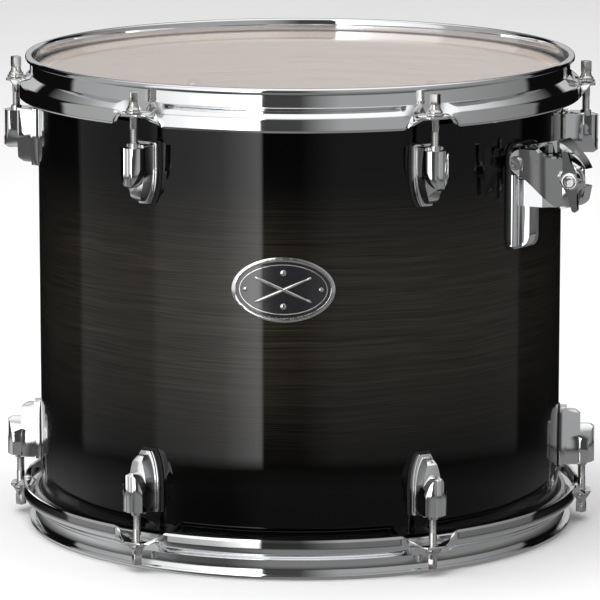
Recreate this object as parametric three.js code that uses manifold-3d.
// A 14 x 12 inch tom tom drum: a lacquered wood shell with a head, a triple-flanged hoop, six lugs
// and six tension rods at each end, an oval badge, a vent, and a clamp that takes a tom holder's rod.
// Millimetres, +Z up. The drum stands on its resonant hoop at z = 0, the shell's axis is the Z axis,
// and the badge faces -Y.
import * as THREE from 'three';
import { mergeVertices } from 'three/addons/utils/BufferGeometryUtils.js';
import Module from 'manifold-3d';

const wasm = await Module();
wasm.setup();

// ---------------------------------------------------------------- driving dimensions
const SHELL_RADIUS = 177.8; // 14 inches across
const SHELL_WALL = 6;
const SHELL_DEPTH = 304.8; // 12 inches
const EDGE_ROUND = 1.6; // drop of the bearing edge's outer round
const RIM_STANDOFF = 8.85; // how far a hoop's rim stands beyond the bearing edge
const TOTAL_HEIGHT = SHELL_DEPTH + 2 * RIM_STANDOFF;
const EDGE_Z = TOTAL_HEIGHT - RIM_STANDOFF; // batter side's bearing edge
const GAP = 0.3; // between parts that rest on each other

const SEGMENTS = 48; // round the drum: every lug falls on a whole segment
const LUG_AZIMUTHS = [-30, 30, 90, 150, -150, -90]; // degrees from -Y towards +X

const HOOP = {
  wallInner: 181.5,
  wallOuter: 183.1,
  lipOuter: 186.2,
  flangeInner: 189.2,
  flangeOuter: 190.8,
  bottom: 294.7,
  shelfTop: 309.6,
  shelfMid: 306.8,
  shelfEdge: 303.6,
};
const EAR = { top: 303.4, thickness: 1.8, halfWidth: 9, reach: 201, hole: 3.4, seat: 6.5 };
const ROD = {
  circle: 193.9,
  seat: 305.4, // underside of the head's collar
  headTop: 317.8,
  squareSide: 5.6, // fits a drum key
  squareHeight: 7.2,
  collarRadius: 5,
  shaftRadius: 2.7,
  tip: 261,
};
const WASHER = { inner: 3.1, outer: 5.9, thickness: 1.4 };

const LUG = {
  top: 283.7,
  bottom: 242.7,
  backGap: 0.9, // filled by the gasket
  baseHalfWidth: 10,
  baseEndHalfWidth: 4.5,
  baseDepth: 4,
  stepHalfWidth: 6.6,
  stepEndHalfWidth: 3.4,
  stepDepth: 11,
  holderRadius: 7.7,
  holderTop: 281.4,
  outer: 24.6,
  faceBottom: 257,
  holderEnd: 255.5,
  holderEndHalfWidth: 1.4,
  boreRadius: 3.3,
  boreBottom: 258,
};

const FLESH_HOOP = { inner: 179.6, outer: 183, top: 306.3, bottom: 298.8 };
const FILM = { thickness: 0.5, crown: 175.2, tuckInner: 178.4, tuckOuter: 179.2 };

const BADGE = { z: 191, halfWidth: 34, halfHeight: 21.8, thickness: 1.5 };
const VENT = { azimuth: 180, z: 161.25, hole: 7, tube: 6.7, bore: 5, flange: 9.5 };

// The rod clamp's own frame: d outwards from the shell, t sideways, z up.
const CLAMP = {
  azimuth: 57.5,
  base: { tLow: -13.5, tHigh: 20, zLow: 206, zHigh: 275.7, back: 1.3, front: 3 },
  arm: { front: 3.2, tipBack: 11, rootBack: 20, rootEnd: 25, reach: 50.2, bottom: 234.5 },
  slot: { bottom: 250.8, top: 261.2, end: 35 },
  pivot: { d: 9, z: 265 },
  heel: { t: -0.8, radius: 3.7 },
  rod: { d: 27, t: -1.6, radius: 5.3 },
  jaw: { outer: -16.5, inner: -12, crease: 12, lean: 20 },
  bolt: { d: 47.2, z: 256, radius: 3.8, hole: 5.2, end: -30.5, eye: -4.3, eyeRadius: 5.2, pin: 2 },
};
const SCREW = { heights: [216, 250], t: 3.2, hole: 3.2, shaft: 2.5, headRadius: 5.2, reach: 7.4 };
const BACKING = { halfWidth: 9, back: -8.3, front: -6.4 };

// ---------------------------------------------------------------- materials
const chrome = new THREE.MeshStandardMaterial({ color: 0xd6dade, roughness: 0.08, metalness: 1 });
const steel = new THREE.MeshStandardMaterial({ color: 0xa9a8a4, roughness: 0.3, metalness: 1 });
const lacquer = new THREE.MeshStandardMaterial({ color: 0x2b2723, roughness: 0.12, metalness: 0 });
const film = new THREE.MeshStandardMaterial({
  color: 0xd9cfc6, roughness: 0.15, metalness: 0, transparent: true, opacity: 0.4,
});
const aluminium = new THREE.MeshStandardMaterial({ color: 0xc4c7ca, roughness: 0.35, metalness: 1 });
const rubber = new THREE.MeshStandardMaterial({ color: 0x16171a, roughness: 0.7, metalness: 0 });
const badgeMetal = new THREE.MeshStandardMaterial({ color: 0xb9b9b6, roughness: 0.3, metalness: 1 });

// ---------------------------------------------------------------- shape helpers
// A closed geometry as a solid that can be joined and cut.
function solid(geometry) {
  const plain = geometry.clone();
  plain.deleteAttribute('normal');
  plain.deleteAttribute('uv');
  const merged = mergeVertices(plain, 1e-4);
  return new wasm.Manifold(new wasm.Mesh({
    numProp: 3,
    vertProperties: merged.attributes.position.array,
    triVerts: new Uint32Array(merged.index.array),
  }));
}

function geometryOf(made) {
  const mesh = made.getMesh();
  const stride = mesh.numProp;
  const points = new Float32Array(mesh.numVert * 3);
  for (let i = 0; i < mesh.numVert; i++) {
    points.set(mesh.vertProperties.subarray(i * stride, i * stride + 3), i * 3);
  }
  const geometry = new THREE.BufferGeometry();
  geometry.setAttribute('position', new THREE.BufferAttribute(points, 3));
  geometry.setIndex(new THREE.BufferAttribute(new Uint32Array(mesh.triVerts), 1));
  geometry.computeVertexNormals();
  return geometry;
}

// Revolves [radius, z] pairs about Z. The profile runs up its outer side and down its inner side.
function turned(profile, segments = SEGMENTS) {
  const points = profile.map(([radius, z]) => new THREE.Vector2(radius, z));
  return new THREE.LatheGeometry(points, segments).rotateX(Math.PI / 2);
}

function ring(profile, segments = SEGMENTS) {
  return turned([...profile, profile[0]], segments);
}

function tube(inner, outer, bottom, top, segments = SEGMENTS) {
  return ring([[inner, bottom], [outer, bottom], [outer, top], [inner, top]], segments);
}

function rodAlongZ(radius, bottom, top, segments = 10) {
  return new THREE.CylinderGeometry(radius, radius, top - bottom, segments)
    .rotateX(Math.PI / 2)
    .translate(0, 0, (bottom + top) / 2);
}

// A cylinder along t (local X) at a place in the clamp's frame, from tLow to tHigh.
function rodAlongT(radius, d, z, tLow, tHigh, segments = 12) {
  return new THREE.CylinderGeometry(radius, radius, tHigh - tLow, segments)
    .rotateZ(Math.PI / 2)
    .translate((tLow + tHigh) / 2, -(SHELL_RADIUS + d), z);
}

// A cylinder along d (outwards, local -Y) at a place on the shell.
function rodAlongD(radius, t, z, dLow, dHigh, segments = 12) {
  return new THREE.CylinderGeometry(radius, radius, dHigh - dLow, segments)
    .translate(t, -(SHELL_RADIUS + (dLow + dHigh) / 2), z);
}

function extruded(shape, depth, curveSegments) {
  return new THREE.ExtrudeGeometry(shape, { depth, bevelEnabled: false, curveSegments });
}

// An outline in (t, z), standing outwards from dLow to dHigh.
function facing(shape, dLow, dHigh, curveSegments = 4) {
  return extruded(shape, dHigh - dLow, curveSegments)
    .rotateX(Math.PI / 2)
    .translate(0, -(SHELL_RADIUS + dLow), 0);
}

// An outline in (d, z), filling sideways from tHigh down to tLow.
function sideways(shape, tLow, tHigh, curveSegments = 4) {
  return extruded(shape, tHigh - tLow, curveSegments)
    .rotateX(Math.PI / 2)
    .rotateZ(-Math.PI / 2)
    .translate(tHigh, -SHELL_RADIUS, 0);
}

function polygon(points) {
  return new THREE.Shape(points.map(([x, y]) => new THREE.Vector2(x, y)));
}

function roundedBox(xLow, xHigh, yLow, yHigh, radius) {
  const shape = new THREE.Shape();
  shape.absarc(xHigh - radius, yLow + radius, radius, -Math.PI / 2, 0);
  shape.absarc(xHigh - radius, yHigh - radius, radius, 0, Math.PI / 2);
  shape.absarc(xLow + radius, yHigh - radius, radius, Math.PI / 2, Math.PI);
  shape.absarc(xLow + radius, yLow + radius, radius, Math.PI, 1.5 * Math.PI);
  return shape;
}

// A ring that follows the shell from dLow to dHigh outside it, with its facets in line with the
// shell's once it is turned to an azimuth.
function shellSkin(dLow, dHigh, zLow, zHigh, azimuth = 0) {
  const skin = tube(SHELL_RADIUS + dLow, SHELL_RADIUS + dHigh, zLow, zHigh);
  return solid(skin.rotateZ(-THREE.MathUtils.degToRad(azimuth)));
}

// ---------------------------------------------------------------- shell and what is fixed to it
function shellGeometry() {
  const inner = SHELL_RADIUS - SHELL_WALL;
  const bottom = RIM_STANDOFF;
  const top = EDGE_Z;
  const bevel = FILM.crown - inner;
  const blank = ring([
    [inner, bottom + bevel],
    [FILM.crown, bottom],
    [SHELL_RADIUS, bottom + EDGE_ROUND],
    [SHELL_RADIUS, top - EDGE_ROUND],
    [FILM.crown, top],
    [inner, top - bevel],
  ]);
  const vent = new THREE.CylinderGeometry(VENT.hole, VENT.hole, 3 * SHELL_WALL, 16)
    .translate(0, SHELL_RADIUS - SHELL_WALL / 2, VENT.z);
  let made = solid(blank).subtract(solid(vent));
  for (const z of SCREW.heights) {
    const hole = rodAlongD(SCREW.hole, SCREW.t, z, -2 * SHELL_WALL, SHELL_WALL);
    made = made.subtract(solid(hole.rotateZ(THREE.MathUtils.degToRad(CLAMP.azimuth))));
  }
  return geometryOf(made);
}

// An oval plate bent to the shell.
function badgeGeometry() {
  const oval = new THREE.Shape();
  oval.absellipse(0, BADGE.z, BADGE.halfWidth, BADGE.halfHeight, 0, 2 * Math.PI);
  const block = solid(facing(oval, -10, 6, 14));
  return geometryOf(block.intersect(shellSkin(GAP, GAP + BADGE.thickness, 100, 260)));
}

// The vent's eyelet, a flanged tube through the shell, along -Y before it is turned into place.
function ventGeometry() {
  const outside = SHELL_RADIUS + 0.6;
  const inside = SHELL_RADIUS - SHELL_WALL - 1.2;
  return ring([
    [VENT.bore, inside],
    [VENT.tube, inside],
    [VENT.tube, outside],
    [VENT.flange, outside],
    [VENT.flange - 1.2, outside + 1.2],
    [VENT.bore, outside + 1.2],
  ], 16).rotateX(Math.PI / 2).translate(0, 0, VENT.z);
}

// ---------------------------------------------------------------- heads and hoops, batter side
// The clear film: flat over the shell, over the bearing edge, and down into its flesh hoop.
function filmGeometry() {
  const under = EDGE_Z + GAP;
  const over = under + FILM.thickness;
  const { crown, tuckInner, tuckOuter } = FILM;
  return turned([
    [0, under],
    [crown, under],
    [tuckInner, under - EDGE_ROUND],
    [tuckInner, FLESH_HOOP.bottom + 1],
    [tuckOuter, FLESH_HOOP.bottom + 1],
    [tuckOuter, under - EDGE_ROUND],
    [crown + 0.6, over],
    [0, over],
  ]);
}

function fleshHoopGeometry() {
  const { inner, outer, top, bottom } = FLESH_HOOP;
  const chamfer = 0.8;
  return ring([
    [inner, bottom],
    [outer, bottom],
    [outer, top - chamfer],
    [outer - chamfer, top],
    [inner, top],
  ]);
}

// The pressed steel hoop: rolled rim, wall, sloping shelf and outer flange, with six ears
// bent outwards from the flange where the rods pass.
function hoopGeometry() {
  const h = HOOP;
  const sheet = h.wallOuter - h.wallInner;
  const pressed = ring([
    [h.flangeInner, h.bottom],
    [h.flangeOuter, h.bottom],
    [h.flangeOuter, h.shelfEdge],
    [187, h.shelfMid],
    [h.wallOuter, h.shelfTop],
    [h.wallOuter, TOTAL_HEIGHT - 3.4],
    [h.lipOuter, TOTAL_HEIGHT - 2.6],
    [h.lipOuter, TOTAL_HEIGHT - 1.2],
    [h.lipOuter - 1.2, TOTAL_HEIGHT],
    [h.wallInner, TOTAL_HEIGHT],
    [h.wallInner, h.shelfTop - 2.6],
    [h.flangeInner - sheet, h.shelfMid - sheet - 0.6],
    [h.flangeInner, h.shelfEdge - sheet],
  ]);
  let made = solid(pressed);
  const notch = facing(polygon([
    [-21, h.bottom - 1], [21, h.bottom - 1], [EAR.halfWidth, EAR.top - 1.4], [-EAR.halfWidth, EAR.top - 1.4],
  ]), h.flangeInner - SHELL_RADIUS - 1, h.flangeOuter - SHELL_RADIUS + 1);
  const earBlock = rodAlongZ(EAR.halfWidth, EAR.top - EAR.thickness, EAR.top, 16)
    .translate(0, -(EAR.reach - EAR.halfWidth), 0);
  const earRoot = new THREE.BoxGeometry(2 * EAR.halfWidth, 7, EAR.thickness)
    .translate(0, -(h.flangeOuter - 2), EAR.top - EAR.thickness / 2);
  const seat = rodAlongZ(EAR.seat, EAR.top, EAR.top + 8, 16).translate(0, -ROD.circle, 0);
  const rodHole = rodAlongZ(EAR.hole, EAR.top - 5, EAR.top + 5, 12).translate(0, -ROD.circle, 0);
  for (const azimuth of LUG_AZIMUTHS) {
    const turn = THREE.MathUtils.degToRad(azimuth);
    made = made
      .subtract(solid(notch.clone().rotateZ(turn)))
      .add(solid(earBlock.clone().rotateZ(turn)))
      .add(solid(earRoot.clone().rotateZ(turn)))
      .subtract(solid(seat.clone().rotateZ(turn)))
      .subtract(solid(rodHole.clone().rotateZ(turn)));
  }
  return geometryOf(made);
}

// ---------------------------------------------------------------- lugs and tension rods
// A shield-shaped outline: wide and flat at the rod's end, narrow at the other.
function shield(halfWidth, endHalfWidth, top, bottom) {
  const straight = top - 0.35 * (top - bottom);
  const pull = top - 0.8 * (top - bottom);
  const shape = new THREE.Shape();
  shape.moveTo(-endHalfWidth, bottom);
  shape.lineTo(endHalfWidth, bottom);
  shape.quadraticCurveTo(halfWidth, pull, halfWidth, straight);
  shape.lineTo(halfWidth, top);
  shape.lineTo(-halfWidth, top);
  shape.lineTo(-halfWidth, straight);
  shape.quadraticCurveTo(-halfWidth, pull, -endHalfWidth, bottom);
  return shape;
}

// The lug is three shields stepping outwards to a fluted holder, cut off on a slope below.
function lugGeometry() {
  const g = LUG;
  const base = facing(shield(g.baseHalfWidth, g.baseEndHalfWidth, g.top, g.bottom), -2, g.baseDepth, 3);
  const step = facing(
    shield(g.stepHalfWidth, g.stepEndHalfWidth, g.top - 1, g.bottom + 2), 0, g.stepDepth, 3);
  const neck = new THREE.BoxGeometry(8, 16, g.holderTop - g.bottom)
    .translate(0, -(SHELL_RADIUS + 9), (g.holderTop + g.bottom) / 2);
  const holder = rodAlongZ(g.holderRadius, g.bottom, g.holderTop, 14)
    .translate(0, -ROD.circle, 0);
  const holderFront = facing(
    shield(g.holderRadius + 0.2, g.holderEndHalfWidth, g.top, g.holderEnd), 8, 30, 4);
  const sideProfile = sideways(polygon([
    [-3, g.bottom - 0.5], [3, g.bottom], [g.outer + 1, g.faceBottom + 0.6],
    [g.outer + 1, g.top + 1], [-3, g.top + 1],
  ]), -20, 20);
  const bore = rodAlongZ(g.boreRadius, g.boreBottom, g.top + 5, 12).translate(0, -ROD.circle, 0);
  return geometryOf(solid(base)
    .add(solid(step))
    .add(solid(neck))
    .add(solid(holder).intersect(solid(holderFront)))
    .intersect(solid(sideProfile))
    .subtract(shellSkin(-20, g.backGap, 200, 300))
    .subtract(solid(bore)));
}

// A tension rod on its own axis: shaft, flared collar and square head.
function tensionRodGeometry() {
  const r = ROD;
  const collarTop = r.headTop - r.squareHeight;
  const body = turned([
    [0, r.tip],
    [r.shaftRadius - 0.7, r.tip],
    [r.shaftRadius, r.tip + 1],
    [r.shaftRadius, r.seat],
    [r.collarRadius, r.seat],
    [r.collarRadius, r.seat + 1.4],
    [r.squareSide / 2, collarTop + 0.4],
    [0, collarTop + 0.4],
  ], 10);
  const square = new THREE.BoxGeometry(r.squareSide, r.squareSide, r.squareHeight)
    .rotateZ(Math.PI / 5)
    .translate(0, 0, r.headTop - r.squareHeight / 2);
  return geometryOf(solid(body).add(solid(square)));
}

function washerGeometry() {
  const top = ROD.seat - 0.25;
  return tube(WASHER.inner, WASHER.outer, top - WASHER.thickness, top, 10);
}

// ---------------------------------------------------------------- rod clamp
function clampOutline(inset) {
  const { tLow, tHigh, zLow, zHigh } = CLAMP.base;
  return roundedBox(tLow + inset, tHigh - inset, zLow + inset, zHigh - inset, 6 - inset);
}

// Turns a shape about the jaw's crease, so that it leans in as the jaw's main plate does.
function leaning(geometry) {
  const { outer, crease, lean } = CLAMP.jaw;
  return geometry
    .translate(-outer, SHELL_RADIUS + crease, 0)
    .rotateZ(THREE.MathUtils.degToRad(lean))
    .translate(outer, -(SHELL_RADIUS + crease), 0);
}

// A square bar where the holder's rod goes, edge on to both halves, to cut their vee grooves.
function veeCutter() {
  const { d, t, radius } = CLAMP.rod;
  return new THREE.BoxGeometry(2 * radius, 2 * radius, 100)
    .rotateZ(Math.PI / 4)
    .translate(t, -(SHELL_RADIUS + d), 255);
}

// A soft gasket, bent to the shell, between it and the clamp's base.
function gasketGeometry() {
  const block = solid(facing(clampOutline(-0.6), -6, 6));
  let made = block.intersect(shellSkin(GAP, 1, 190, 290, CLAMP.azimuth));
  for (const z of SCREW.heights) {
    made = made.subtract(solid(rodAlongD(SCREW.hole, SCREW.t, z, -5, 5)));
  }
  return geometryOf(made);
}

// Base plate with its two ribs, and the arm that stands out from it: a vee for the rod, and a fork.
function clampBodyGeometry() {
  const { base, arm, slot, pivot, bolt } = CLAMP;
  const plate = facing(clampOutline(0), -3, base.front);
  const edgeRib = facing(roundedBox(base.tLow, -6.2, base.zLow, 256, 3), 0, 4.8);
  const rootRib = sideways(polygon([
    [1, 208], [5, 208], [8.5, 213], [8.5, arm.bottom + 1], [1, arm.bottom + 1],
  ]), -1.5, 8);
  const side = sideways(polygon([
    [1, arm.bottom], [31, arm.bottom], [48, 240.5], [arm.reach, slot.bottom], [slot.end, slot.bottom],
    [slot.end, slot.top], [arm.reach, slot.top + 1], [40, 272.3], [27, 279], [1, 273],
  ]), arm.front, arm.rootBack);
  const plan = extruded(polygon([
    [arm.front - 1, -SHELL_RADIUS], [arm.front - 1, -(SHELL_RADIUS + arm.reach + 1)],
    [arm.tipBack, -(SHELL_RADIUS + arm.reach + 1)], [arm.rootBack + 1, -(SHELL_RADIUS + arm.rootEnd)],
    [arm.rootBack + 1, -SHELL_RADIUS],
  ]), 60).translate(0, 0, 225);
  const pivotHole = rodAlongT(2.6, pivot.d, pivot.z, arm.front - 1, arm.front + 9);
  const pinHole = leaning(rodAlongZ(bolt.pin + GAP, 244, 290)
    .translate(bolt.eye, -(SHELL_RADIUS + bolt.d), 0));
  let made = solid(side)
    .intersect(solid(plan))
    .add(solid(plate))
    .add(solid(edgeRib))
    .add(solid(rootRib))
    .subtract(solid(veeCutter()))
    .subtract(solid(pivotHole))
    .subtract(solid(pinHole))
    .subtract(shellSkin(-20, base.back, 190, 290, CLAMP.azimuth));
  for (const z of SCREW.heights) {
    made = made.subtract(solid(rodAlongD(SCREW.shaft + 0.4, SCREW.t, z, -3, SCREW.reach + 0.4)));
  }
  return geometryOf(made);
}

// The jaw: a flat lug at the pivot, then a plate that leans in and widens to the bolt, bulged
// over its vee. It rocks on a round heel that stands against the arm.
function jawGeometry() {
  const { jaw, pivot, heel, rod, bolt } = CLAMP;
  const outline = new THREE.Shape();
  outline.moveTo(jaw.crease - 0.6, 274);
  outline.lineTo(jaw.crease - 0.6, 257.4);
  outline.lineTo(35, 237.5);
  outline.lineTo(45, 237.5);
  outline.quadraticCurveTo(56, 242, 56, bolt.z - 1);
  outline.quadraticCurveTo(56, 266, 47, 268.6);
  outline.quadraticCurveTo(33, 267.6, 27, 270.6);
  outline.quadraticCurveTo(23, 274, 18, 274);
  const plate = solid(leaning(sideways(outline, jaw.outer, jaw.inner)));
  const bulge = solid(rodAlongZ(12.5, 230, 280, 20).translate(rod.t, -(SHELL_RADIUS + rod.d), 0))
    .intersect(solid(leaning(sideways(outline, jaw.outer - 5, jaw.inner - 1))));
  const lugOutline = new THREE.Shape();
  lugOutline.moveTo(jaw.crease, 274);
  lugOutline.absarc(jaw.crease, 265.4, 8.6, Math.PI / 2, 1.5 * Math.PI);
  const lug = solid(sideways(lugOutline, jaw.outer, jaw.inner));
  const foot = solid(rodAlongZ(heel.radius, 257.5, 273, 12)
    .translate(heel.t, -(SHELL_RADIUS + pivot.d), 0));
  const web = solid(new THREE.BoxGeometry(heel.t - jaw.inner + 1, 4.6, 15.5)
    .translate((heel.t + jaw.inner - 1) / 2, -(SHELL_RADIUS + pivot.d), 265.25));
  const pivotSlot = solid(new THREE.BoxGeometry(40, 5.4, 5.4)
    .translate(0, -(SHELL_RADIUS + pivot.d), pivot.z));
  const boltHole = solid(leaning(
    rodAlongT(bolt.hole, bolt.d + 0.9, bolt.z, jaw.outer - 6, jaw.inner + 1)));
  const washerSeat = solid(leaning(
    rodAlongT(9, bolt.d, bolt.z, jaw.outer - 6, jaw.outer, 20)));
  return geometryOf(plate
    .add(bulge)
    .add(lug)
    .add(web)
    .add(foot)
    .subtract(pivotSlot)
    .subtract(solid(veeCutter()))
    .subtract(boltHole)
    .subtract(washerSeat));
}

function pivotScrewGeometry() {
  const { pivot, jaw, arm } = CLAMP;
  const head = jaw.outer - 0.4;
  const shank = rodAlongT(2.2, pivot.d, pivot.z, head - 1, arm.front + 8);
  const cap = rodAlongT(4.6, pivot.d, pivot.z, head - 2.4, head, 14);
  const drive = rodAlongT(2, pivot.d, pivot.z, head - 3, head - 1.2, 6);
  return geometryOf(solid(shank).add(solid(cap)).subtract(solid(drive)));
}

// The eye bolt: its eye is held by a pin in the fork, and its threaded end comes through the jaw.
function eyeBoltGeometry() {
  const { bolt, slot } = CLAMP;
  const centre = [bolt.eye, -(SHELL_RADIUS + bolt.d), 0];
  const shank = rodAlongT(bolt.radius, bolt.d, bolt.z, bolt.end, bolt.eye);
  const eye = rodAlongZ(bolt.eyeRadius, slot.bottom + 0.4, slot.top - 0.4, 14).translate(...centre);
  const hole = rodAlongZ(bolt.pin + GAP, 240, 270).translate(...centre);
  return geometryOf(solid(leaning(shank)).add(solid(leaning(eye))).subtract(solid(leaning(hole))));
}

function boltPinGeometry() {
  const { bolt } = CLAMP;
  return leaning(rodAlongZ(bolt.pin, 244.4, 270.4).translate(bolt.eye, -(SHELL_RADIUS + bolt.d), 0));
}

function wingWasherGeometry() {
  const { bolt, jaw } = CLAMP;
  const high = jaw.outer - 0.4;
  const disc = rodAlongT(8.4, bolt.d, bolt.z, high - 1.8, high, 16);
  const hole = rodAlongT(bolt.radius + 0.4, bolt.d, bolt.z, high - 3, high + 1);
  return geometryOf(solid(leaning(disc)).subtract(solid(leaning(hole))));
}

// The wing nut: a turned hub with two wings that taper to rounded ends.
function wingNutGeometry() {
  const { bolt, jaw } = CLAMP;
  const back = jaw.outer - 2.6;
  const tip = 18.8;
  const hub = rodAlongT(6.6, bolt.d, bolt.z, back - 9, back, 16);
  const hole = rodAlongT(bolt.radius + 0.4, bolt.d, bolt.z, back - 12, back + 1);
  const wing = new THREE.Shape();
  wing.moveTo(bolt.d - 5.4, bolt.z);
  wing.quadraticCurveTo(bolt.d - 3.4, bolt.z + 9, bolt.d - 2.2, bolt.z + tip);
  wing.absarc(bolt.d, bolt.z + tip, 2.2, Math.PI, 0, true);
  wing.quadraticCurveTo(bolt.d + 3.4, bolt.z + 9, bolt.d + 5.4, bolt.z);
  wing.quadraticCurveTo(bolt.d + 3.4, bolt.z - 9, bolt.d + 2.2, bolt.z - tip);
  wing.absarc(bolt.d, bolt.z - tip, 2.2, 0, -Math.PI, true);
  wing.quadraticCurveTo(bolt.d - 3.4, bolt.z - 9, bolt.d - 5.4, bolt.z);
  const wings = sideways(wing, back - 7.4, back - 2.4);
  return geometryOf(solid(leaning(hub)).add(solid(leaning(wings))).subtract(solid(leaning(hole))));
}

// A screw from inside the drum, through the shell, into the clamp's base.
function mountingScrewGeometry(z) {
  const shank = rodAlongD(SCREW.shaft, SCREW.t, z, BACKING.back - 1, SCREW.reach);
  const head = rodAlongD(SCREW.headRadius, SCREW.t, z, BACKING.back - 4, BACKING.back - 0.6);
  return geometryOf(solid(shank).add(solid(head)));
}

function backingPlateGeometry() {
  const outline = roundedBox(
    SCREW.t - BACKING.halfWidth, SCREW.t + BACKING.halfWidth, 208, 270, 5);
  const skin = shellSkin(BACKING.back, BACKING.front, 190, 290, CLAMP.azimuth);
  let made = solid(facing(outline, -14, 0)).intersect(skin);
  for (const z of SCREW.heights) {
    made = made.subtract(solid(rodAlongD(SCREW.hole, SCREW.t, z, -20, 5)));
  }
  return geometryOf(made);
}

// ---------------------------------------------------------------- assembly
const drum = new THREE.Group();

// A group turned to an azimuth, and turned over about the shell's middle for the resonant side.
function station(azimuth, flipped = false) {
  const turnedTo = new THREE.Group();
  turnedTo.rotation.z = THREE.MathUtils.degToRad(azimuth);
  const side = new THREE.Group();
  if (flipped) {
    side.rotation.y = Math.PI;
    side.position.z = TOTAL_HEIGHT;
  }
  turnedTo.add(side);
  drum.add(turnedTo);
  return side;
}

function place(parent, name, geometry, material, position = [0, 0, 0]) {
  const mesh = new THREE.Mesh(geometry, material);
  mesh.name = name;
  mesh.position.set(...position);
  parent.add(mesh);
}

place(drum, 'shell', shellGeometry(), lacquer);
place(drum, 'badge', badgeGeometry(), badgeMetal);
place(station(VENT.azimuth), 'vent_eyelet', ventGeometry(), chrome);

const lug = lugGeometry();
const tensionRod = tensionRodGeometry();
const washer = washerGeometry();
for (const [side, flipped] of [['batter', false], ['resonant', true]]) {
  const end = station(0, flipped);
  place(end, `${side}_head_film`, filmGeometry(), film);
  place(end, `${side}_flesh_hoop`, fleshHoopGeometry(), aluminium);
  place(end, `${side}_hoop`, hoopGeometry(), chrome);
  LUG_AZIMUTHS.forEach((azimuth, index) => {
    const spot = station(azimuth, flipped);
    const onRodAxis = [0, -ROD.circle, 0];
    place(spot, `${side}_lug_${index + 1}`, lug, chrome);
    place(spot, `${side}_rod_${index + 1}`, tensionRod, steel, onRodAxis);
    place(spot, `${side}_washer_${index + 1}`, washer, steel, onRodAxis);
  });
}

const clamp = station(CLAMP.azimuth);
place(clamp, 'clamp_gasket', gasketGeometry(), rubber);
place(clamp, 'clamp_body', clampBodyGeometry(), chrome);
place(clamp, 'clamp_jaw', jawGeometry(), chrome);
place(clamp, 'clamp_pivot_screw', pivotScrewGeometry(), steel);
place(clamp, 'clamp_eye_bolt', eyeBoltGeometry(), steel);
place(clamp, 'clamp_bolt_pin', boltPinGeometry(), steel);
place(clamp, 'clamp_washer', wingWasherGeometry(), chrome);
place(clamp, 'wing_nut', wingNutGeometry(), chrome);
place(clamp, 'clamp_backing_plate', backingPlateGeometry(), steel);
SCREW.heights.forEach((z, index) => {
  place(clamp, `clamp_screw_${index + 1}`, mountingScrewGeometry(z), steel);
});

export default drum;
